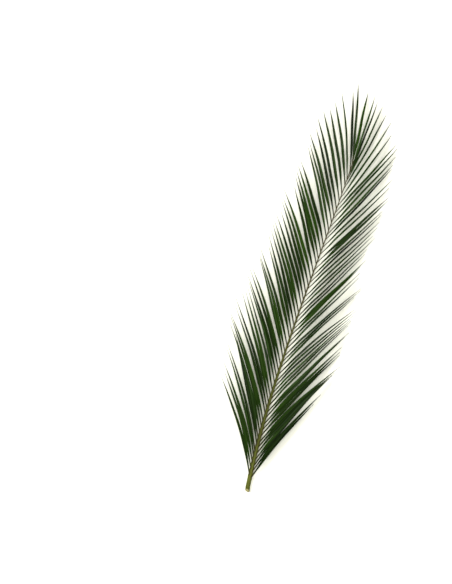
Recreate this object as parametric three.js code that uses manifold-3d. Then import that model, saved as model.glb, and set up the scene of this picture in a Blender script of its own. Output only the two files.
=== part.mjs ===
// One cut and preserved palm frond, lying face up on a flat surface.
// A long midrib tapers from the cut end to the tip and carries two rows of narrow leaflets, folded
// into a V along their length, and one more leaflet at the end. It all grew as one body.
//
// Units are millimetres. +Z is up and +Y runs along the frond, from the cut end towards the tip.
// The origin lies on the resting surface, under the midrib's flat underside near the balance point.

import * as THREE from 'three';
import Module from 'manifold-3d';

const wasm = await Module();
wasm.setup();

// Driving dimensions of the midrib
const MIDRIB_LENGTH = 624;
const MIDRIB_BEND_START = [-24, 208];   // control point that bows the midrib to the left
const MIDRIB_BEND_END = [-3, 416];      // control point that brings it back
const CUT_WIDTH = 8.6;                  // across the midrib at the cut
const TIP_WIDTH = 1.5;                  // across the midrib where it ends
const MIDRIB_TAPER = 2.1;               // the power that the width falls with
const MIDRIB_DEPTH = 0.8;               // height of the section as a share of its width
const CUT_SLANT = 0.35;                 // how far the cut runs back for each millimetre across
const CUT_RAKE = 0.9;                   // and for each millimetre up
const FLAT_TO = 0.5;                    // share of the midrib that lies flat on the surface
const TIP_RISE = 9;                     // how high the underside has risen at the tip
const REST_AT = 0.4;                    // share of the midrib where the origin lies under it
const MIDRIB_STEPS = 12;

// The midrib's section, from its flat underside round to the ridge on top, for one half.
// Each point is a share of the width from the middle and a share of the height.
const MIDRIB_HALF_SECTION = [[0.3, 0], [0.47, 0.28], [0.5, 0.55], [0.3, 0.86]];

// Driving dimensions of the leaflets
const PAIRS = 48;
const FIRST_PAIR = 0.036;               // share of the midrib where the lowest leaflets grow
const LAST_PAIR = 0.992;
const SPREADING = 0.14;                 // how much further apart than average the last leaflets grow
const ROOT_HEIGHT = 0.6;                // where leaflets join, as a share of the midrib's height
const ROOT_DEPTH = 0.12;                // where they start, as a share of its width from the middle
const BLADE_WIDTH = 7.2;                // across both wings of the widest leaflet, laid flat
const BLADE_THICKNESS = 0.7;
const POINT_SHARE = 0.09;               // width at the point, as a share of the full width
const WIDEST_AT = 0.35;                 // share of the length where the blade is at full width
const FOLD_AT_ROOT = 60;                // how far each wing is folded up, in degrees
const FOLD_OPEN = 34;
const TURN_AT_ROOT = 12;                // how far the upper face turns towards the frond's tip
const OPENS_FROM = 0.05;                // share of the length where the fold and turn start to change
const OPEN_AT = 0.35;                   // and where they reach their full values
const REACH = 0.45;                     // share of the length over which a leaflet keeps its first heading
const BLADE_STATIONS = [0, 0.18, 0.4, 0.63, 1];

// How the leaflets change along the frond. Each row belongs to one place in STATIONS, as a share
// of the way from the lowest leaflet to the last. Angles are in degrees from the midrib.
const STATIONS = [0, 0.06, 0.2, 0.42, 0.7, 0.86, 1];
const RIGHT_ROW = {
  side: 1,
  seed: 1538158840,
  stalk: [0.6, 0.6, 0.55, 0.4, 0.28, 0.25, 0.25],    // width at the root, as a share of the full width
  rootAngle: [20, 23, 25, 26, 28, 24, 2],
  spanAngle: [28.5, 31, 30.5, 28, 25.5, 19.5, -1],
  length: [176, 200, 204, 180, 176, 164, 133],
  turn: [35, 50, 52, 54, 52, 50, 46],   // how far the opened blade turns towards the frond's tip
  turnSpread: 32,
};
const LEFT_ROW = {
  side: -1,
  seed: 767587082,
  stalk: [0.6, 0.6, 0.55, 0.5, 0.45, 0.45, 0.45],
  rootAngle: [18, 20, 25, 29, 31, 29, 14],
  spanAngle: [26, 27, 30, 33, 34.5, 32, 15],
  length: [176, 200, 205, 178, 157, 167, 143],
  turn: [0, 5, 30, 8, 5, 30, 38],
  turnSpread: 20,
};
const WIDTH_ALONG = [0.86, 0.95, 1, 1, 1, 0.97, 0.86];
const RISE_ALONG = [14, 17, 18, 18, 17, 13, 9];    // degrees above level at the root
const TAPER_ALONG = [2.3, 2, 1.7, 1.7, 2.2, 3, 3.5];   // the power that a blade narrows with
const END_LEAFLET = {
  angle: -6, rise: 5, length: 131, width: 0.86, stalk: 0.34, taper: 3.5, turn: 20,
};

// How the leaflets lean together in small groups, as they do on a dried frond
const GROUP_SIZES = [1, 2, 2, 3, 3];
const LEAST_LEAN = 0.1;                 // how much of the gap between two neighbours a group closes
const MOST_LEAN = 0.7;
const SWING_SPREAD = 2.2;               // how far a group swings, each way, in degrees
const GROUP_LIFT = 1.7;                 // each leaflet of a group lies this much higher than the last
const TIP_HEIGHT = 1;                   // of the leaflets whose tips touch the surface
const TIP_HEIGHT_SPREAD = 14;
const RISE_SPREAD = 3;                  // random changes, each way, in degrees
const ANGLE_SPREAD = 0.3;
const LENGTH_SPREAD = 0.035;
const PLACE_SPREAD = 0.14;              // of the distance between two leaflets

const UP = new THREE.Vector3(0, 0, 1);
const radians = THREE.MathUtils.degToRad;
const mix = THREE.MathUtils.lerp;
const ease = THREE.MathUtils.smoothstep;

// A repeatable stream of numbers from 0 to 1
function makeRandom(seed) {
  let state = seed;
  return () => {
    state = (state * 16807) % 2147483647;
    return state / 2147483647;
  };
}

// The value of a row of numbers at share u, read between the places in STATIONS
function along(row, u) {
  const last = STATIONS.length - 1;
  let k = 0;
  while (k < last - 1 && u > STATIONS[k + 1]) {
    k += 1;
  }
  const t = (u - STATIONS[k]) / (STATIONS[k + 1] - STATIONS[k]);
  return mix(row[k], row[k + 1], THREE.MathUtils.clamp(t, 0, 1));
}

// The midrib's line, seen from above, and its size and height at share s of its length
const midribLine = new THREE.CubicBezierCurve(
  new THREE.Vector2(0, 0),
  new THREE.Vector2(...MIDRIB_BEND_START),
  new THREE.Vector2(...MIDRIB_BEND_END),
  new THREE.Vector2(0, MIDRIB_LENGTH),
);

function midribWidth(s) {
  return TIP_WIDTH + (CUT_WIDTH - TIP_WIDTH) * (1 - s) ** MIDRIB_TAPER;
}

function midribUnderside(s) {
  const past = Math.max(0, (s - FLAT_TO) / (1 - FLAT_TO));
  return TIP_RISE * past * past;
}

function midribHeading(s) {
  const t = midribLine.getTangent(s);
  return Math.atan2(t.x, t.y);
}

// A closed body from rings of points. Each ring has as many points as the next, and caps lists the
// triangles that close a ring. turned says which strips are split along their other diagonal.
function skin(rings, caps, turned = () => false) {
  const n = rings[0].length;
  const last = (rings.length - 1) * n;
  const faces = [];
  for (let k = 0; k < rings.length - 1; k += 1) {
    for (let j = 0; j < n; j += 1) {
      const a = k * n + j;
      const b = k * n + ((j + 1) % n);
      if (turned(j)) {
        faces.push([a, b, a + n], [b, b + n, a + n]);
      } else {
        faces.push([a, b, b + n], [a, b + n, a + n]);
      }
    }
  }
  for (const [a, b, c] of caps) {
    faces.push([a, c, b], [a + last, b + last, c + last]);
  }
  const points = rings.flat();
  let volume = 0;
  for (const [a, b, c] of faces) {
    volume += points[a].dot(new THREE.Vector3().crossVectors(points[b], points[c]));
  }
  const outward = volume > 0 ? faces : faces.map(([a, b, c]) => [a, c, b]);
  const geometry = new THREE.BufferGeometry().setFromPoints(points);
  geometry.setIndex(outward.flat());
  return geometry;
}

function midrib() {
  const half = MIDRIB_HALF_SECTION;
  const mirrored = half.map(([x, z]) => [-x, z]).reverse();
  const section = [...half, [0, 1], ...mirrored];
  const rings = [];
  for (let k = 0; k <= MIDRIB_STEPS; k += 1) {
    const s = k / MIDRIB_STEPS;
    const centre = midribLine.getPoint(s);
    const heading = midribHeading(s);
    const width = midribWidth(s);
    rings.push(section.map(([xShare, zShare]) => {
      const x = xShare * width;
      const z = zShare * width * MIDRIB_DEPTH;
      const cut = k === 0 ? CUT_RAKE * z - CUT_SLANT * x : 0;
      return new THREE.Vector3(
        centre.x + x * Math.cos(heading),
        centre.y - x * Math.sin(heading) + cut,
        midribUnderside(s) + z,
      );
    }));
  }
  const caps = [];
  for (let j = 1; j < section.length - 1; j += 1) {
    caps.push([0, j, j + 1]);
  }
  return skin(rings, caps);
}

// A leaflet's width across both wings at share t of its length, as a share of the widest
function bladeShare(stalk, taper, t) {
  const grown = mix(stalk, 1, ease(t, 0, WIDEST_AT));
  const past = Math.max(0, (t - WIDEST_AT) / (1 - WIDEST_AT));
  return Math.max(POINT_SHARE, grown * (1 - past ** taper));
}

// One leaflet, as a thin V that follows a curve from its root to its point
function leaflet({ root, hold, point, row, width, stalk, taper, turn }) {
  const line = new THREE.QuadraticBezierCurve3(root, hold, point);
  const rings = BLADE_STATIONS.map((t) => {
    const centre = line.getPoint(t);
    const ahead = line.getTangent(t);
    const level = new THREE.Vector3().crossVectors(UP, ahead).normalize().multiplyScalar(row.side);
    const above = UP.clone().addScaledVector(ahead, -ahead.z).normalize();
    const open = ease(t, OPENS_FROM, OPEN_AT);
    const turned = -row.side * radians(mix(TURN_AT_ROOT, turn, open));
    const across = level.clone().applyAxisAngle(ahead, turned);
    const out = above.clone().applyAxisAngle(ahead, turned);
    const fold = radians(mix(FOLD_AT_ROOT, FOLD_OPEN, open));
    const wing = (width * bladeShare(stalk, taper, t)) / 2;
    const depth = BLADE_THICKNESS / Math.cos(fold);
    const at = (x, z) => centre.clone().addScaledVector(across, x).addScaledVector(out, z);
    const reach = wing * Math.cos(fold);
    const lift = wing * Math.sin(fold);
    return [
      at(-reach, lift), at(0, 0), at(reach, lift),
      at(reach, lift - depth), at(0, -depth), at(-reach, lift - depth),
    ];
  });
  const caps = [[0, 1, 4], [0, 4, 5], [1, 2, 3], [1, 3, 4]];
  return skin(rings, caps, (strip) => strip >= 3);
}

// For each leaflet of a row, how it leans, lies and turns with the others of its group
function inGroups(row, random) {
  const either = () => 2 * random() - 1;
  const placed = [];
  while (placed.length < PAIRS) {
    const size = GROUP_SIZES[Math.floor(random() * GROUP_SIZES.length)];
    const lean = mix(LEAST_LEAN, MOST_LEAN, random());
    const turn = row.turnSpread * either();
    const swing = SWING_SPREAD * either();
    const rise = RISE_SPREAD * either();
    const tipHeight = TIP_HEIGHT + TIP_HEIGHT_SPREAD * random() ** 2;
    for (let rank = 0; rank < size; rank += 1) {
      const shift = ((size - 1) / 2 - rank) * lean;
      placed.push({ shift, lift: GROUP_LIFT * rank, turn, swing, rise, tipHeight });
    }
  }
  return placed;
}

function leafletRow(row) {
  const random = makeRandom(row.seed);
  const either = () => 2 * random() - 1;
  const own = Array.from({ length: PAIRS }, () => [either(), either(), either()]);
  const placed = inGroups(row, random);
  const offset = row.side > 0 ? 0 : 0.5;
  const bodies = [];
  for (let i = 0; i < PAIRS; i += 1) {
    const [placeChange, lengthChange, angleChange] = own[i];
    const { shift, lift, turn, swing, rise, tipHeight } = placed[i];
    const v = (i + offset + PLACE_SPREAD * placeChange) / (PAIRS - 0.5);
    const u = THREE.MathUtils.clamp(v + SPREADING * v * (v - 1), 0, 1);
    const s = mix(FIRST_PAIR, LAST_PAIR, u);
    const length = along(row.length, u) * (1 + LENGTH_SPREAD * lengthChange);
    const ribHeading = midribHeading(s);
    const span = along(row.spanAngle, u);
    const gap = ((LAST_PAIR - FIRST_PAIR) / PAIRS) * MIDRIB_LENGTH * Math.sin(radians(span));
    const leaning = (shift * gap) / length;
    const angle = radians(span + swing + ANGLE_SPREAD * angleChange) - leaning;
    const heading = ribHeading + row.side * angle;
    const rootHeading = ribHeading + row.side * (radians(along(row.rootAngle, u)) - leaning / 3);
    const climb = radians(along(RISE_ALONG, u) + rise);
    const centre = midribLine.getPoint(s);
    const width = midribWidth(s);
    const inside = row.side * ROOT_DEPTH * width;
    const root = new THREE.Vector3(
      centre.x + inside * Math.cos(ribHeading),
      centre.y - inside * Math.sin(ribHeading),
      midribUnderside(s) + ROOT_HEIGHT * width * MIDRIB_DEPTH,
    );
    const hold = root.clone().add(new THREE.Vector3(
      Math.sin(rootHeading) * Math.cos(climb),
      Math.cos(rootHeading) * Math.cos(climb),
      Math.sin(climb),
    ).multiplyScalar(REACH * length));
    hold.z += lift;
    const point = new THREE.Vector3(
      root.x + Math.sin(heading) * length,
      root.y + Math.cos(heading) * length,
      tipHeight + lift,
    );
    bodies.push(leaflet({
      root, hold, point, row, width: BLADE_WIDTH * along(WIDTH_ALONG, u),
      stalk: along(row.stalk, u), taper: along(TAPER_ALONG, u), turn: along(row.turn, u) + turn,
    }));
  }
  return bodies;
}

function endLeaflet() {
  const s = LAST_PAIR;
  const heading = midribHeading(s) + radians(END_LEAFLET.angle);
  const centre = midribLine.getPoint(s);
  const length = END_LEAFLET.length;
  const rise = radians(END_LEAFLET.rise);
  const root = new THREE.Vector3(
    centre.x, centre.y, midribUnderside(s) + ROOT_HEIGHT * TIP_WIDTH * MIDRIB_DEPTH,
  );
  const flat = new THREE.Vector3(Math.sin(heading), Math.cos(heading), 0);
  const hold = root.clone().addScaledVector(flat, REACH * length);
  hold.z += REACH * length * Math.tan(rise);
  const point = root.clone().addScaledVector(flat, length).setZ(TIP_HEIGHT);
  return leaflet({
    root, hold, point, row: RIGHT_ROW, width: BLADE_WIDTH * END_LEAFLET.width,
    stalk: END_LEAFLET.stalk, taper: END_LEAFLET.taper, turn: END_LEAFLET.turn,
  });
}

function solid(geometry) {
  return new wasm.Manifold(new wasm.Mesh({
    numProp: 3,
    vertProperties: new Float32Array(geometry.attributes.position.array),
    triVerts: new Uint32Array(geometry.index.array),
  }));
}

function frondGeometry() {
  const leaflets = [...leafletRow(RIGHT_ROW), ...leafletRow(LEFT_ROW), endLeaflet()];
  const whole = leaflets.reduce((body, one) => body.add(solid(one)), solid(midrib()));
  const mesh = whole.getMesh();
  const geometry = new THREE.BufferGeometry();
  geometry.setAttribute('position', new THREE.BufferAttribute(mesh.vertProperties, 3));
  geometry.setIndex(new THREE.BufferAttribute(mesh.triVerts, 1));
  geometry.computeVertexNormals();
  return geometry;
}

const leafGreen = new THREE.MeshStandardMaterial({
  color: 0x33501f, roughness: 0.55, metalness: 0, flatShading: true,
});

const palmFrond = new THREE.Mesh(frondGeometry(), leafGreen);
palmFrond.name = 'palm_frond';

const frond = new THREE.Group();
frond.add(palmFrond);
const rest = midribLine.getPoint(REST_AT);
frond.position.set(-rest.x, -rest.y, 0);

export default frond;
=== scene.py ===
"""A cut palm frond, preserved in glycerine, lying face up on a pale studio floor.

A long midrib carries two rows of narrow leaflets and one more at its end. Each leaflet is folded
into a V, which is nearly shut where it grows from the midrib and opens further out.
Lengths are in millimetres until a mesh is made, and angles in degrees.
"""
import math
from collections import namedtuple

import bpy
import numpy as np
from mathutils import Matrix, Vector


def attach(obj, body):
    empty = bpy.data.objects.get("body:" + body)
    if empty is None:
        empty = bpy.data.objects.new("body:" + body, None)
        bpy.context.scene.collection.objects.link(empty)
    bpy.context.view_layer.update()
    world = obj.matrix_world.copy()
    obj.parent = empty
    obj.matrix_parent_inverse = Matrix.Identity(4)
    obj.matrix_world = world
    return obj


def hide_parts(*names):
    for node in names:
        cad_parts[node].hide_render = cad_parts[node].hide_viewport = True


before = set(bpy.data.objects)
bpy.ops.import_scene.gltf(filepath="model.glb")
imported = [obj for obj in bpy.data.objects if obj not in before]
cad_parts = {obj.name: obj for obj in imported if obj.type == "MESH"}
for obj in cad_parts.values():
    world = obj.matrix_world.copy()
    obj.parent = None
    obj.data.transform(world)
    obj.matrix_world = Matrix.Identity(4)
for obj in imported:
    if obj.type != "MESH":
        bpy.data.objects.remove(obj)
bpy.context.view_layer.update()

MM = 0.001

# The midrib, as the solid has it
MIDRIB_LENGTH = 624
MIDRIB_BEND_START = (-24, 208)
MIDRIB_BEND_END = (-3, 416)
CUT_WIDTH = 8.6
TIP_WIDTH = 1.5
MIDRIB_TAPER = 2.1
MIDRIB_DEPTH = 0.8          # its height as a share of its width
CUT_SLANT = 0.35            # to one side, for each millimetre across
CUT_RAKE = 0.9              # back, for each millimetre up
FLAT_TO = 0.5               # it lies flat up to this share of its length, then rises
TIP_RISE = 9
REST_AT = 0.4
MIDRIB_HALF_SECTION = [(0.3, 0), (0.47, 0.28), (0.5, 0.55), (0.3, 0.86)]

# The leaflets, as the solid has them. Each list gives values at the STATIONS along the rows.
PAIRS = 48
FIRST_PAIR = 0.036
LAST_PAIR = 0.992
LEFT_OFFSET = 0.5           # the left row grows half a step further along
SPREADING = 0.14            # how much wider apart they grow towards the tip
ROOT_HEIGHT = 0.6
ROOT_DEPTH = 0.12
BLADE_WIDTH = 7.2
POINT_SHARE = 0.09          # width at the point, as a share of the full width
WIDEST_AT = 0.35
FOLD_AT_ROOT = 60
FOLD_OPEN = 34
TURN_AT_ROOT = 12
OPENS_FROM = 0.05
OPEN_AT = 0.35
REACH = 0.45
STATIONS = [0, 0.06, 0.2, 0.42, 0.7, 0.86, 1]
WIDTH_ALONG = [0.86, 0.95, 1, 1, 1, 0.97, 0.86]
TAPER_ALONG = [2.3, 2, 1.7, 1.7, 2.2, 3, 3.5]
RISE_ALONG = [14, 17, 18, 18, 17, 13, 9]
Row = namedtuple("Row", "side seed stalk root_angle span_angle length turn turn_spread")
RIGHT_ROW = Row(
    side=1,
    seed=1538158840,
    stalk=[0.6, 0.6, 0.55, 0.4, 0.28, 0.25, 0.25],
    root_angle=[20, 23, 25, 26, 28, 24, 2],
    span_angle=[28.5, 31, 30.5, 28, 25.5, 19.5, -1],
    length=[176, 200, 204, 180, 176, 164, 133],
    turn=[35, 50, 52, 54, 52, 50, 46],
    turn_spread=32,
)
LEFT_ROW = Row(
    side=-1,
    seed=767587082,
    stalk=[0.6, 0.6, 0.55, 0.5, 0.45, 0.45, 0.45],
    root_angle=[18, 20, 25, 29, 31, 29, 14],
    span_angle=[26, 27, 30, 33, 34.5, 32, 15],
    length=[176, 200, 205, 178, 157, 167, 143],
    turn=[0, 5, 30, 8, 5, 30, 38],
    turn_spread=20,
)
END_ANGLE, END_RISE, END_LENGTH, END_TURN = -6, 5, 131, 20
END_WIDTH, END_STALK, END_TAPER = 0.86, 0.34, 3.5

# How the leaflets lean together in groups and differ from each other, as the solid has them
GROUP_SIZES = [1, 2, 2, 3, 3]
LEAST_LEAN = 0.1
MOST_LEAN = 0.7
ROOT_LEANS_LESS = 3         # a leaflet's root leans a third as much as the whole of it
SWING_SPREAD = 2.2
GROUP_LIFT = 1.7
TIP_HEIGHT = 1
TIP_HEIGHT_SPREAD = 14
RISE_SPREAD = 3
ANGLE_SPREAD = 0.3
LENGTH_SPREAD = 0.035
PLACE_SPREAD = 0.14

# The finer form of the real leaflets, which the solid leaves out
BLADE_THICKNESS = 0.32      # a dried blade, over most of a wing
KEEL_THICKNESS = 0.62       # under the fold, where the leaflet's own vein runs
MARGIN_THICKNESS = 0.14
KEEL_TO, MARGIN_FROM = 0.13, 0.8    # shares of a wing's width
THIN_SHARE = 0.35           # thickness left where a wing has no width, as a share
WING_CURL = 18              # how much a wing arches between the fold and its margin
NARROW_WING = 0.5           # up to this width a wing is straight
WIDE_WING = 3               # from this width on it has its full curl and ribs
WING_RIB = 0.045            # height of the three lengthwise ribs on each wing
SWAY, SWAY_WAVES = 0.5, 1.3             # how far a leaflet strays from its smooth curve
RIPPLE, RIPPLE_WAVES = 3, 2.1           # how far its turn strays
FOLD_STRAY, FOLD_STRAY_RATE = 2, 5      # how far its fold strays
WING_POINTS = 8             # steps from the fold to the margin
BLADE_RINGS = 30
PATTERN_STEP = 17.0         # sets each leaflet's dye and veins apart from the next one's
DETAIL_SEED = 90217

# The finer form of the real midrib, which the solid leaves out
MIDRIB_RINGS = 300
RINGS_FROM = 0.016          # the first ring past the slanting cut
ROUNDED_TIP = 0.015         # the share of its length over which its tip rounds off
KNOB_SIZE = 0.07            # swelling at each leaflet's root, as a share of the midrib's width
KNOB_PAST_ROOT = 1.5        # where it is thickest
KNOB_LENGTH = 2.4
KNOB_AT, KNOB_DEPTH = 0.6, 0.3          # shares of the midrib's height
GRAIN_AROUND = 6            # the pattern's own measure around the midrib, in units of pi
CORE_SHARE = 0.86           # the pale core of the cut end, inside the rind
CORE_STEP = 0.1             # how far it stands out of the rind
CORE_MIDDLE = 0.47          # share of the midrib's height
CORE_RINGS = [(0.4, 0), (0.75, 0.02), (1, 0.06), (1, 2.5)]      # size as a share, and depth
JOINT_RINGS, JOINT_POINTS = 7, 10
JOINT_LENGTH, JOINT_LENGTH_GAIN = 2, 0.4        # and more for each millimetre of midrib width
JOINT_RADIUS, JOINT_RADIUS_GAIN = 0.18, 0.09
JOINT_SPREAD = 0.15
JOINT_NARROWING = 0.97      # a joint runs out to nearly nothing along the leaflet
JOINT_SQUEEZE = 0.75        # its width as a share of its height
JOINT_DROP, JOINT_DROP_SHARE = 0.25, 0.7        # how far under the leaflet's fold it lies

# The camera looks straight down, and the photograph's pixels give its place
PHOTO_SIZE = (452, 584)
CUT_END_PIXEL = (246.8, 491.6)
MM_PER_PIXEL = 1.8
LEAN = 17.81                # the frond's lean to the right in the picture
LENS = 85
SENSOR = 36

# The studio, in metres and watts. A softbox stands this far right, up and high of the picture's
# centre, and has this size and power.
SOFTBOXES = {
    "softbox_above": (0.0, 0.1, 2.4, 1.4, 40),
    "softbox_left": (-1.4, 0.75, 1.75, 1.1, 50),
    "softbox_right": (2.0, -0.3, 1.8, 1.6, 8),
    "softbox_below": (-0.2, -2.1, 1.7, 1.6, 6),
}
ROOM_LIGHT = 0.35
FLOOR_HALF = 4.0
FLOOR_DROP = 0.0002         # keeps the floor clear of the midrib's flat underside

UP = np.array([0.0, 0.0, 1.0])


def make_random(seed):
    """A repeatable stream of numbers from 0 to 1, the same one that the solid draws from."""
    state = seed

    def draw():
        nonlocal state
        state = state * 16807 % 2147483647
        return state / 2147483647

    return draw


def mix(a, b, t):
    return a + (b - a) * t


def ease(t, start, end):
    x = np.clip((np.asarray(t, float) - start) / (end - start), 0, 1)
    return x * x * (3 - 2 * x)


def unit(v):
    return v / np.linalg.norm(v, axis=-1, keepdims=True)


# The midrib's line and size at share s of its length

def midrib_place(s):
    s = np.asarray(s, float)[..., None]
    start, end = np.array(MIDRIB_BEND_START), np.array(MIDRIB_BEND_END)
    tip = np.array([0, MIDRIB_LENGTH])
    return 3 * s * (1 - s) ** 2 * start + 3 * s ** 2 * (1 - s) * end + s ** 3 * tip


def midrib_heading(s):
    start, end = np.array(MIDRIB_BEND_START), np.array(MIDRIB_BEND_END)
    tip = np.array([0, MIDRIB_LENGTH])
    s = np.asarray(s, float)[..., None]
    slope = (1 - s) ** 2 * start + 2 * s * (1 - s) * (end - start) + s ** 2 * (tip - end)
    return np.arctan2(slope[..., 0], slope[..., 1])


def midrib_width(s):
    return TIP_WIDTH + (CUT_WIDTH - TIP_WIDTH) * (1 - s) ** MIDRIB_TAPER


def midrib_underside(s):
    past = np.maximum(0, (s - FLAT_TO) / (1 - FLAT_TO))
    return TIP_RISE * past * past


# Where the leaflets grow, drawn in the solid's own order

Leaflet = namedtuple("Leaflet", "root hold point row width stalk taper turn share")
Leaning = namedtuple("Leaning", "shift lift turn swing rise tip_height")


def in_groups(row, random):
    """How each leaflet of a row leans, lies and turns with the others of its group."""
    def either():
        return 2 * random() - 1

    placed = []
    while len(placed) < PAIRS:
        size = GROUP_SIZES[int(random() * len(GROUP_SIZES))]
        lean = mix(LEAST_LEAN, MOST_LEAN, random())
        turn = row.turn_spread * either()
        swing = SWING_SPREAD * either()
        rise = RISE_SPREAD * either()
        tip_height = TIP_HEIGHT + TIP_HEIGHT_SPREAD * random() ** 2
        for rank in range(size):
            shift = ((size - 1) / 2 - rank) * lean
            placed.append(Leaning(shift, GROUP_LIFT * rank, turn, swing, rise, tip_height))
    return placed


def leaflet_row(row):
    random = make_random(row.seed)
    own = [[2 * random() - 1 for _ in range(3)] for _ in range(PAIRS)]
    placed = in_groups(row, random)
    offset = 0 if row.side > 0 else LEFT_OFFSET
    leaflets = []
    for i in range(PAIRS):
        place_change, length_change, angle_change = own[i]
        with_group = placed[i]
        v = (i + offset + PLACE_SPREAD * place_change) / (PAIRS - 1 + LEFT_OFFSET)
        u = float(np.clip(v + SPREADING * v * (v - 1), 0, 1))
        s = mix(FIRST_PAIR, LAST_PAIR, u)
        length = np.interp(u, STATIONS, row.length) * (1 + LENGTH_SPREAD * length_change)
        span = np.interp(u, STATIONS, row.span_angle)
        gap = (LAST_PAIR - FIRST_PAIR) / PAIRS * MIDRIB_LENGTH * math.sin(math.radians(span))
        leaning = with_group.shift * gap / length
        rib_heading = float(midrib_heading(s))
        angle = math.radians(span + with_group.swing + ANGLE_SPREAD * angle_change) - leaning
        heading = rib_heading + row.side * angle
        root_angle = math.radians(np.interp(u, STATIONS, row.root_angle))
        root_heading = rib_heading + row.side * (root_angle - leaning / ROOT_LEANS_LESS)
        rise = math.radians(np.interp(u, STATIONS, RISE_ALONG) + with_group.rise)
        width = midrib_width(s)
        inside = row.side * ROOT_DEPTH * width
        x, y = midrib_place(s)
        root = np.array([
            x + inside * math.cos(rib_heading),
            y - inside * math.sin(rib_heading),
            midrib_underside(s) + ROOT_HEIGHT * width * MIDRIB_DEPTH,
        ])
        first = np.array([
            math.sin(root_heading) * math.cos(rise),
            math.cos(root_heading) * math.cos(rise),
            math.sin(rise),
        ])
        hold = root + REACH * length * first + with_group.lift * UP
        point = root + length * np.array([math.sin(heading), math.cos(heading), 0])
        point[2] = with_group.tip_height + with_group.lift
        blade = BLADE_WIDTH * np.interp(u, STATIONS, WIDTH_ALONG)
        stalk = np.interp(u, STATIONS, row.stalk)
        taper = np.interp(u, STATIONS, TAPER_ALONG)
        turn = np.interp(u, STATIONS, row.turn) + with_group.turn
        leaflets.append(Leaflet(root, hold, point, row, blade, stalk, taper, turn, s))
    return leaflets


def end_leaflet():
    s = LAST_PAIR
    heading = float(midrib_heading(s)) + math.radians(END_ANGLE)
    flat = np.array([math.sin(heading), math.cos(heading), 0])
    x, y = midrib_place(s)
    root = np.array([x, y, midrib_underside(s) + ROOT_HEIGHT * TIP_WIDTH * MIDRIB_DEPTH])
    hold = root + REACH * END_LENGTH * (flat + math.tan(math.radians(END_RISE)) * UP)
    point = root + END_LENGTH * flat
    point[2] = TIP_HEIGHT
    width = BLADE_WIDTH * END_WIDTH
    return Leaflet(root, hold, point, RIGHT_ROW, width, END_STALK, END_TAPER, END_TURN, s)


# Meshes

REST_PLACE = np.append(midrib_place(REST_AT), 0)


def closed_skin(ring_count, ring_points, first=0):
    """Faces of a tube of rings, with a middle point after them for each end."""
    faces = []
    for k in range(ring_count - 1):
        for j in range(ring_points):
            a = first + k * ring_points + j
            b = first + k * ring_points + (j + 1) % ring_points
            faces.append((a, b, b + ring_points, a + ring_points))
    start_middle = first + ring_count * ring_points
    last_ring = first + (ring_count - 1) * ring_points
    for j in range(ring_points):
        next_j = (j + 1) % ring_points
        faces.append((start_middle, first + next_j, first + j))
        faces.append((start_middle + 1, last_ring + j, last_ring + next_j))
    return faces


def skin_of(leaf, ring_count, ring_points, first):
    """Faces of a leaflet's tube, turned to look outwards on either side of the midrib."""
    faces = closed_skin(ring_count, ring_points, first)
    return [face[::-1] for face in faces] if leaf.row.side > 0 else faces


def tube_points(rings):
    """All points of a tube: its rings, then the middle of the first and of the last."""
    return np.concatenate([rings.reshape(-1, 3), [rings[0].mean(0), rings[-1].mean(0)]])


def side_by_side(*values):
    """Three values for each point, each spread over the same rings."""
    return np.stack(np.broadcast_arrays(*values), axis=-1)


def make_piece(name, points, faces, material, fields=(), sharp=50):
    """A piece of the frond from points in millimetres along the midrib's own frame.

    fields are (name, one vector for each point) pairs that the material reads.
    """
    mesh = bpy.data.meshes.new(name)
    mesh.from_pydata(((points - REST_PLACE) * MM).tolist(), [], faces)
    mesh.validate()
    for field, values in fields:
        made = mesh.attributes.new(field, "FLOAT_VECTOR", "POINT")
        made.data.foreach_set("vector", np.asarray(values, np.float32).ravel())
    mesh.polygons.foreach_set("use_smooth", [True] * len(mesh.polygons))
    mesh.set_sharp_from_angle(angle=math.radians(sharp))
    mesh.materials.append(material)
    piece = bpy.data.objects.new(name, mesh)
    bpy.context.scene.collection.objects.link(piece)
    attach(piece, "root")
    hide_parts("palm_frond")


def blade_share(leaf, t):
    """A leaflet's width at shares t of its length, as a share of its widest."""
    grown = mix(leaf.stalk, 1, ease(t, 0, WIDEST_AT))
    past = np.maximum(0, (t - WIDEST_AT) / (1 - WIDEST_AT))
    return np.maximum(POINT_SHARE, grown * (1 - past ** leaf.taper))


def leaflet_axes(leaf, t):
    """The leaflet's middle line, its level direction and its upward one at shares t."""
    s = t[:, None]
    centre = (1 - s) ** 2 * leaf.root + 2 * s * (1 - s) * leaf.hold + s ** 2 * leaf.point
    ahead = unit((1 - s) * (leaf.hold - leaf.root) + s * (leaf.point - leaf.hold))
    level = unit(np.cross(UP, ahead)) * leaf.row.side
    above = unit(UP - ahead * ahead[:, 2:])
    return centre, level, above


def wing_shape(fold, wing):
    """A wing's section, from the fold out: how far out, how far up and its slope at each point."""
    q = np.arange(WING_POINTS + 1) / WING_POINTS
    curl = math.radians(WING_CURL) * (1 - 2 * q)
    slope = fold[:, None] + curl * ease(wing, NARROW_WING, WIDE_WING)[:, None]
    middle = (slope[:, 1:] + slope[:, :-1]) / 2
    step = (wing / WING_POINTS)[:, None]
    out = np.cumsum(np.cos(middle) * step, axis=1)
    up = np.cumsum(np.sin(middle) * step, axis=1)
    zero = np.zeros((len(wing), 1))
    ribs = np.where(np.arange(WING_POINTS + 1) % 2 == 0, 0.5, -0.5)
    ribs[[0, -1]] = 0
    height = WING_RIB * np.minimum(1, wing / WIDE_WING)[:, None] * ribs
    return np.hstack([zero, out]), np.hstack([zero, up]) + height, slope


def both_wings(x, z, keep):
    """The kept points of a wing's section, from one margin over the fold to the other."""
    k = keep[::-1][:-1]
    return np.hstack([-x[:, k], x[:, keep]]), np.hstack([z[:, k], z[:, keep]])


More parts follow.
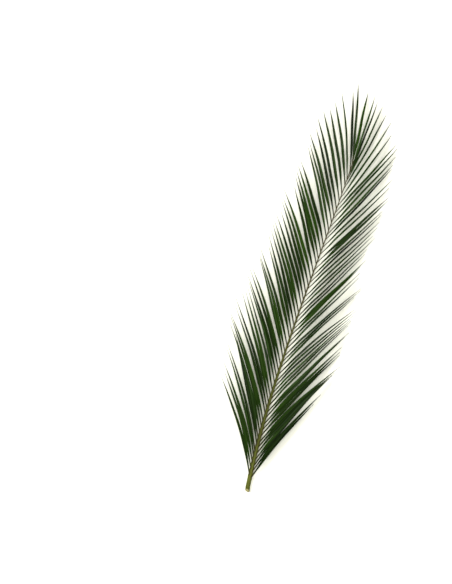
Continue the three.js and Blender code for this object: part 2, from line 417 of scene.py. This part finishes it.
def leaflet_mesh(leaf, number, random):
    """Points, pattern measures and places of one leaflet, as a closed thin blade."""
    t = np.linspace(0, 1, BLADE_RINGS)
    centre, level, above = leaflet_axes(leaf, t)
    length = np.linalg.norm(leaf.point - leaf.root)
    phase = [2 * math.pi * random() for _ in range(3)]
    bow = np.sin(math.pi * t)
    sway = SWAY * bow * np.sin(2 * math.pi * t * SWAY_WAVES + phase[0])
    centre = centre + sway[:, None] * level
    ripple = RIPPLE * bow * np.sin(2 * math.pi * t * RIPPLE_WAVES + phase[1])
    open_share = ease(t, OPENS_FROM, OPEN_AT)
    turn = np.radians(mix(TURN_AT_ROOT, leaf.turn, open_share) + ripple)[:, None]
    across = level * np.cos(turn) - above * np.sin(turn)
    outward = above * np.cos(turn) + level * np.sin(turn)
    fold_stray = FOLD_STRAY * np.sin(FOLD_STRAY_RATE * t + phase[2])
    fold = np.radians(mix(FOLD_AT_ROOT, FOLD_OPEN, open_share) + fold_stray)
    wing = leaf.width * blade_share(leaf, t) / 2
    out, up, slope = wing_shape(fold, wing)
    q = np.arange(WING_POINTS + 1) / WING_POINTS
    thick = np.interp(q, [0, KEEL_TO, MARGIN_FROM, 1],
                      [KEEL_THICKNESS, BLADE_THICKNESS, BLADE_THICKNESS, MARGIN_THICKNESS])
    thick = thick * np.minimum(1, THIN_SHARE + wing / 2)[:, None]
    under_out = out + np.sin(slope) * thick
    under_up = up - np.cos(slope) * thick
    under_out[:, 0] = 0

    every = np.arange(WING_POINTS + 1)
    second = every[::2]
    top_x, top_z = both_wings(out, up, every)
    low_x, low_z = both_wings(under_out, under_up, second)
    x = np.hstack([top_x, low_x[:, ::-1]])
    z = np.hstack([top_z, low_z[:, ::-1]])
    rings = centre[:, None] + across[:, None] * x[..., None] + outward[:, None] * z[..., None]

    # The pattern's measure runs across and along the blade in mm, and the place holds the share
    # of the length, the leaflet's own tone and whether the point is on the underside
    top_side = np.concatenate([-q[::-1][:-1], q])
    low_side = np.concatenate([-q[second][::-1][:-1], q[second]])[::-1]
    reach = np.concatenate([top_side, low_side])[None] * wing[:, None]
    pattern = side_by_side(reach, t[:, None] * length, PATTERN_STEP * number)
    tone = random()
    under = np.concatenate([np.zeros(len(top_side)), np.ones(len(low_side))])
    place = side_by_side(t[:, None], tone, under)
    return tube_points(rings), tube_points(pattern), tube_points(place), rings.shape[1]


def leaflets_piece(name, leaflets, material, random, number=0):
    points, patterns, places, faces = [], [], [], []
    count = 0
    for i, leaf in enumerate(leaflets):
        blade, pattern, place, ring_points = leaflet_mesh(leaf, number + i, random)
        faces += skin_of(leaf, BLADE_RINGS, ring_points, count)
        points.append(blade)
        patterns.append(pattern)
        places.append(place)
        count += len(blade)
    fields = [("blade", np.concatenate(patterns)), ("place", np.concatenate(places))]
    make_piece(name, np.concatenate(points), faces, material, fields, sharp=40)


def rounded(outline, times=2):
    """A closed outline with its corners cut, each time a quarter of the way along both sides."""
    for _ in range(times):
        ahead = np.roll(outline, -1, axis=0)
        cuts = [0.75 * outline + 0.25 * ahead, 0.25 * outline + 0.75 * ahead]
        outline = np.stack(cuts, axis=1).reshape(-1, 2)
    return outline


def midrib_section():
    half = np.array(MIDRIB_HALF_SECTION)
    return rounded(np.vstack([half, [[0, 1]], half[::-1] * [-1, 1]]))


def cut_plane(x, z):
    """How far along the midrib its cut lies, at x across it and z above its underside."""
    return CUT_RAKE * z - CUT_SLANT * x


def midrib_piece(leaflets, material):
    rings_at = np.append(0, np.linspace(RINGS_FROM, 1, MIDRIB_RINGS))
    section = midrib_section()
    x_share, z_share = section[:, 0], section[:, 1]
    s = rings_at[:, None]
    narrowing = np.sqrt(np.maximum(0.02, (1 - s) / ROUNDED_TIP))
    width = midrib_width(s) * np.where(s > 1 - ROUNDED_TIP, narrowing, 1)
    knobs = np.zeros((len(rings_at), len(section)))
    for leaf in leaflets:
        past_root = (rings_at - leaf.share) * MIDRIB_LENGTH - KNOB_PAST_ROOT
        near = np.exp(-(past_root / KNOB_LENGTH) ** 2)
        high = np.exp(-(((z_share - KNOB_AT) / KNOB_DEPTH) ** 2))
        flank = np.clip(x_share * leaf.row.side * 2, 0, 1) * high
        knobs += near[:, None] * flank * KNOB_SIZE * leaf.row.side
    x = (x_share + knobs) * width
    z = z_share * width * MIDRIB_DEPTH
    heading = midrib_heading(rings_at)[:, None]
    cut = np.where(s == 0, CORE_STEP + cut_plane(x, z), 0)
    place = midrib_place(rings_at)
    rings = np.stack([
        place[:, :1] + x * np.cos(heading),
        place[:, 1:] - x * np.sin(heading) + cut,
        midrib_underside(s) + z,
    ], axis=-1)
    around = np.arange(len(section)) / len(section) * math.pi * GRAIN_AROUND
    grain = side_by_side(around, s * MIDRIB_LENGTH, 0.0)
    where = side_by_side(s, x_share, z_share)
    faces = closed_skin(len(rings_at), len(section))
    fields = [("grain", tube_points(grain)), ("place", tube_points(where))]
    make_piece("midrib", tube_points(rings), faces, material, fields)


def cut_core_piece(material):
    """The pale fibrous core that shows in the cut end, inside the rind."""
    section = midrib_section()
    middle = np.array([0, CORE_MIDDLE])
    heading = float(midrib_heading(0))
    rings, places = [], []
    for share, inwards in CORE_RINGS:
        x, z = ((section - middle) * CORE_SHARE * share + middle).T * CUT_WIDTH
        z = z * MIDRIB_DEPTH
        y = inwards + cut_plane(x, z) - x * math.sin(heading)
        rings.append(side_by_side(x * math.cos(heading), y, z))
        places.append(side_by_side(x, z, float(share)))
    faces = closed_skin(len(rings), len(section))
    fields = [("place", tube_points(np.array(places)))]
    make_piece("cut_core", tube_points(np.array(rings)), faces, material, fields)


def leaflet_joints_piece(leaflets, material, random):
    """The small swollen joint that each leaflet grows from, at the midrib's flank."""
    points, places, faces = [], [], []
    v = np.linspace(0, 1, JOINT_RINGS)
    around = np.arange(JOINT_POINTS) / JOINT_POINTS * 2 * math.pi
    count = 0
    for leaf in leaflets:
        rib = midrib_width(leaf.share)
        long = JOINT_LENGTH + JOINT_LENGTH_GAIN * rib
        length = np.linalg.norm(leaf.point - leaf.root)
        centre, level, above = leaflet_axes(leaf, v * long / length)
        full = (JOINT_RADIUS + JOINT_RADIUS_GAIN * rib) * (1 + JOINT_SPREAD * random())
        swell = (full * np.sqrt(1 - v ** 2 * JOINT_NARROWING))[:, None]
        x = np.cos(around) * swell * JOINT_SQUEEZE
        z = np.sin(around) * swell - JOINT_DROP_SHARE * swell - JOINT_DROP
        rings = centre[:, None] + level[:, None] * x[..., None] + above[:, None] * z[..., None]
        faces += skin_of(leaf, JOINT_RINGS, JOINT_POINTS, count)
        places.append(tube_points(side_by_side(v[:, None], random(), np.zeros(JOINT_POINTS))))
        points.append(tube_points(rings))
        count += len(points[-1])
    fields = [("place", np.concatenate(places))]
    make_piece("leaflet_joints", np.concatenate(points), faces, material, fields)


# Materials

def linear(hex_colour):
    """An sRGB colour such as "#33501f" as linear red, green, blue and alpha."""
    channels = [int(hex_colour[i:i + 2], 16) / 255 for i in (1, 3, 5)]
    return [c / 12.92 if c <= 0.04045 else ((c + 0.055) / 1.055) ** 2.4 for c in channels] + [1]


def add(tree, kind, inputs=(), **settings):
    """Adds a node. inputs are (socket name or number, value or another node's output) pairs."""
    made = tree.nodes.new(kind)
    for key, value in settings.items():
        setattr(made, key, value)
    for key, value in inputs:
        if isinstance(value, bpy.types.NodeSocket):
            tree.links.new(value, made.inputs[key])
        else:
            made.inputs[key].default_value = value
    return made


def field_of(tree, name):
    """What a piece's mesh holds for each point under this name."""
    return add(tree, "ShaderNodeAttribute", attribute_name=name).outputs["Vector"]


def parts_of(tree, vector):
    return add(tree, "ShaderNodeSeparateXYZ", [("Vector", vector)]).outputs


def noise(tree, place, scale, detail, roughness=0.5):
    """Soft noise. scale is the number of its spots to each unit of place, in all directions or

    in each. The unit is a metre in an object's own coordinates and a millimetre in a field.
    """
    if isinstance(scale, tuple):
        stretched = add(tree, "ShaderNodeVectorMath", [(0, place), (1, scale)], operation="MULTIPLY")
        place, scale = stretched.outputs[0], 1.0
    inputs = [("Vector", place), ("Scale", scale), ("Detail", detail), ("Roughness", roughness)]
    return add(tree, "ShaderNodeTexNoise", inputs).outputs["Fac"]


def ranged(tree, value, start, end, low, high):
    """A value brought from start..end to low..high, and held at either end."""
    inputs = [("Value", value), ("From Min", start), ("From Max", end), ("To Min", low), ("To Max", high)]
    return add(tree, "ShaderNodeMapRange", inputs).outputs[0]


def blend(tree, share, first, second):
    """From the first colour to the second, each a hex colour or another node's output."""
    inputs = [(0, share)]
    for socket, colour in ((6, first), (7, second)):
        inputs.append((socket, linear(colour) if isinstance(colour, str) else colour))
    return add(tree, "ShaderNodeMix", inputs, data_type="RGBA").outputs[2]


def calculate(tree, operation, *values):
    return add(tree, "ShaderNodeMath", list(enumerate(values)), operation=operation).outputs[0]


def relief(tree, height, strength, depth):
    """The bumps that a height gives, depth metres deep."""
    inputs = [("Strength", strength), ("Distance", depth), ("Height", height)]
    return add(tree, "ShaderNodeBump", inputs).outputs[0]


def new_material(name):
    made = bpy.data.materials.new(name)
    made.use_nodes = True
    made.node_tree.nodes.clear()
    return made, made.node_tree


def finish_material(tree, surface, **constants):
    """The Principled shader, with what is linked in surface and what is the same all over."""
    shader = add(tree, "ShaderNodeBsdfPrincipled", list(surface.items()))
    for key, value in constants.items():
        shader.inputs[key.replace("_", " ")].default_value = value
    add(tree, "ShaderNodeOutputMaterial", [("Surface", shader.outputs["BSDF"])])


def leaflet_blade_dried_in_glycerine():
    """Palm leaflet, dried in glycerine and dyed: deep green with a satin, slightly waxy sheen."""
    material, tree = new_material("palm_leaflet_glycerine_preserved")
    blade = field_of(tree, "blade")
    share, tone, under = parts_of(tree, field_of(tree, "place"))
    # Dye takes unevenly: patches about 30 mm long and 4 mm wide, drawn out along the fibres
    patches = noise(tree, blade, (0.25, 0.033, 1), detail=3.0, roughness=0.6)
    # Veins run 0.5 mm apart in the real blade, and are drawn 0.9 mm apart so that they show
    veins = noise(tree, blade, (1.1, 0.006, 1), detail=2.0, roughness=0.55)
    green = blend(tree, tone, "#0a1902", "#26420a")
    dyed = blend(tree, ranged(tree, patches, 0.35, 0.7, 0.0, 0.6), green, "#091303")
    veined = blend(tree, ranged(tree, veins, 0.52, 0.72, 0.0, 0.4), dyed, "#395215")
    # The fold shows as a paler line half a millimetre wide to each side
    from_fold = calculate(tree, "ABSOLUTE", parts_of(tree, blade)[0])
    folded = blend(tree, ranged(tree, from_fold, 0.15, 0.5, 0.55, 0.0), veined, "#394b19")
    # The blade keeps a dull straw colour where it grows from the midrib
    rooted = blend(tree, ranged(tree, share, 0.01, 0.14, 0.85, 0.0), folded, "#544a30")
    # The thin points dry out to a dark olive brown
    pointed = blend(tree, ranged(tree, share, 0.86, 1.0, 0.0, 0.75), rooted, "#1d1f12")
    # The underside has no waxy layer, so it is greyer and duller than the upper face
    colour = blend(tree, calculate(tree, "MULTIPLY", under, 0.5), pointed, "#233412")
    gloss = ranged(tree, patches, 0.3, 0.7, 0.36, 0.5)
    surface = {
        "Base Color": colour,
        "Roughness": calculate(tree, "MULTIPLY_ADD", under, 0.15, gloss),
        "Normal": relief(tree, veins, strength=0.35, depth=0.0002),
    }
    finish_material(tree, surface, IOR=1.45, Specular_IOR_Level=0.1)
    return material


def midrib_rind():
    """Palm midrib rind, dried: smooth and olive at the cut, browner further up, finely fibrous."""
    material, tree = new_material("palm_midrib_rind_dried")
    grain = field_of(tree, "grain")
    share = parts_of(tree, field_of(tree, "place"))[0]
    ramp = add(tree, "ShaderNodeValToRGB", [("Fac", share)])
    first, last = ramp.color_ramp.elements
    first.color = linear("#4c5214")
    last.color = linear("#4a4630")
    # Olive at the cut and browner further up. The stop at 0.07 is painted light: it is lighter than the
    # stops on either side to offset the shade that the leaflets cast on the midrib just past the cut
    for at, colour in [(0.07, "#5d6320"), (0.16, "#545a1c"), (0.35, "#5a6126"), (0.6, "#5a5738")]:
        ramp.color_ramp.elements.new(at).color = linear(colour)
    # Fibres under the rind, 0.6 mm apart at the cut, closer further up, and some 25 mm long
    fibres = noise(tree, grain, (2.2, 0.04, 1), detail=3.0, roughness=0.6)
    dark_fibre = ranged(tree, fibres, 0.5, 0.7, 0.0, 0.55)
    streaked = blend(tree, dark_fibre, ramp.outputs["Color"], "#393216")
    # Brown flecks of scurf, some 2 mm long
    flecks = noise(tree, grain, (0.9, 0.35, 1), detail=2.0)
    surface = {
        "Base Color": blend(tree, ranged(tree, flecks, 0.6, 0.68, 0.0, 0.7), streaked, "#33260f"),
        "Roughness": ranged(tree, fibres, 0.3, 0.7, 0.4, 0.6),
        "Normal": relief(tree, fibres, strength=0.4, depth=0.0003),
    }
    finish_material(tree, surface, IOR=1.5, Specular_IOR_Level=0.12)
    return material


def midrib_core_cut():
    """Palm midrib cut with shears: pale straw pith, dotted with the brown ends of its fibres."""
    material, tree = new_material("palm_midrib_core_cut")
    place = field_of(tree, "place")
    # The fibre bundles are 0.4 mm thick and about 0.9 mm apart
    cells = add(tree, "ShaderNodeTexVoronoi", [("Vector", place), ("Scale", 1.1)])
    bundles = ranged(tree, cells.outputs["Distance"], 0.2, 0.34, 0.8, 0.0)
    torn = noise(tree, place, 2.5, detail=4.0)
    pith = blend(tree, torn, "#b3ab74", "#8f8650")
    surface = {
        "Base Color": blend(tree, bundles, pith, "#5e4a26"),
        "Normal": relief(tree, calculate(tree, "ADD", bundles, torn), strength=0.5, depth=0.0003),
    }
    finish_material(tree, surface, IOR=1.5, Roughness=0.8, Specular_IOR_Level=0.3)
    return material


def leaflet_joint_skin():
    """Skin of a leaflet's swollen joint, dried: straw yellow, wrinkled and mottled with brown."""
    material, tree = new_material("palm_leaflet_joint_dried")
    share, tone, _ = parts_of(tree, field_of(tree, "place"))
    straw = blend(tree, tone, "#9c8f52", "#7a6d37")
    # It turns green where the blade begins
    colour = blend(tree, ranged(tree, share, 0.5, 1.0, 0.0, 1.0), straw, "#36401a")
    # Wrinkles about 1 mm apart
    where = add(tree, "ShaderNodeTexCoord").outputs["Object"]
    wrinkles = noise(tree, where, 900.0, detail=2.0)
    surface = {
        "Base Color": blend(tree, ranged(tree, wrinkles, 0.5, 0.7, 0.0, 0.6), colour, "#241c0c"),
        "Normal": relief(tree, wrinkles, strength=0.3, depth=0.0002),
    }
    finish_material(tree, surface, IOR=1.5, Roughness=0.55)
    return material


def matt_white_floor():
    """Matt off-white studio board: almost without gloss, so that only the shadows show on it."""
    material, tree = new_material("matt_white_board")
    # The board's tooth, about 3 mm across and barely visible
    tooth = noise(tree, add(tree, "ShaderNodeTexCoord").outputs["Object"], 350.0, detail=2.0)
    surface = {"Base Color": blend(tree, tooth, "#f5f4e5", "#f2f1e1")}
    finish_material(tree, surface, IOR=1.45, Roughness=0.9)
    return material


# The studio

def picture_directions():
    """The picture's right and up, on the floor."""
    lean = math.radians(LEAN)
    return Vector((math.cos(lean), math.sin(lean), 0)), Vector((-math.sin(lean), math.cos(lean), 0))


def picture_centre():
    right, up = picture_directions()
    across = (PHOTO_SIZE[0] / 2 - CUT_END_PIXEL[0]) * MM_PER_PIXEL
    down = (PHOTO_SIZE[1] / 2 - CUT_END_PIXEL[1]) * MM_PER_PIXEL
    return (across * right - down * up - Vector(REST_PLACE)) * MM


def place_camera():
    data = bpy.data.cameras.new("camera")
    data.lens = LENS
    data.sensor_fit = "VERTICAL"
    data.sensor_height = SENSOR
    camera = bpy.data.objects.new("camera", data)
    distance = PHOTO_SIZE[1] * MM_PER_PIXEL * MM * LENS / SENSOR
    camera.location = picture_centre() + Vector((0, 0, distance))
    camera.rotation_euler = (0, 0, math.radians(LEAN))
    bpy.context.scene.collection.objects.link(camera)
    bpy.context.scene.camera = camera


def place_softbox(name, right, up, height, size, power):
    data = bpy.data.lights.new(name, "AREA")
    data.shape = "SQUARE"
    data.size = size
    data.energy = power
    light = bpy.data.objects.new(name, data)
    to_right, to_up = picture_directions()
    centre = picture_centre()
    light.location = centre + right * to_right + up * to_up + Vector((0, 0, height))
    light.rotation_euler = (centre - light.location).to_track_quat("-Z", "Y").to_euler()
    bpy.context.scene.collection.objects.link(light)


def light_studio():
    for name, placing in SOFTBOXES.items():
        place_softbox(name, *placing)
    world = bpy.data.worlds.new("studio")
    bpy.context.scene.world = world
    world.use_nodes = True
    room = world.node_tree.nodes["Background"]
    room.inputs["Color"].default_value = linear("#fbfcff")
    room.inputs["Strength"].default_value = ROOM_LIGHT
    bpy.context.scene.view_settings.view_transform = "Standard"


def lay_floor():
    mesh = bpy.data.meshes.new("studio_floor")
    corners = [(-1, -1), (1, -1), (1, 1), (-1, 1)]
    points = [(x * FLOOR_HALF, y * FLOOR_HALF, -FLOOR_DROP) for x, y in corners]
    mesh.from_pydata(points, [], [(0, 1, 2, 3)])
    mesh.materials.append(matt_white_floor())
    floor = bpy.data.objects.new("studio_floor", mesh)
    bpy.context.scene.collection.objects.link(floor)


def build_frond():
    right_leaflets = leaflet_row(RIGHT_ROW)
    left_leaflets = leaflet_row(LEFT_ROW)
    last_leaflet = end_leaflet()
    everywhere = right_leaflets + left_leaflets + [last_leaflet]
    detail = make_random(DETAIL_SEED)
    blade = leaflet_blade_dried_in_glycerine()
    leaflets_piece("leaflets_right", right_leaflets, blade, detail)
    leaflets_piece("leaflets_left", left_leaflets, blade, detail, PAIRS)
    leaflets_piece("leaflet_end", [last_leaflet], blade, detail, 2 * PAIRS)
    midrib_piece(everywhere, midrib_rind())
    cut_core_piece(midrib_core_cut())
    leaflet_joints_piece(everywhere, leaflet_joint_skin(), detail)


place_camera()
light_studio()
lay_floor()
build_frond()
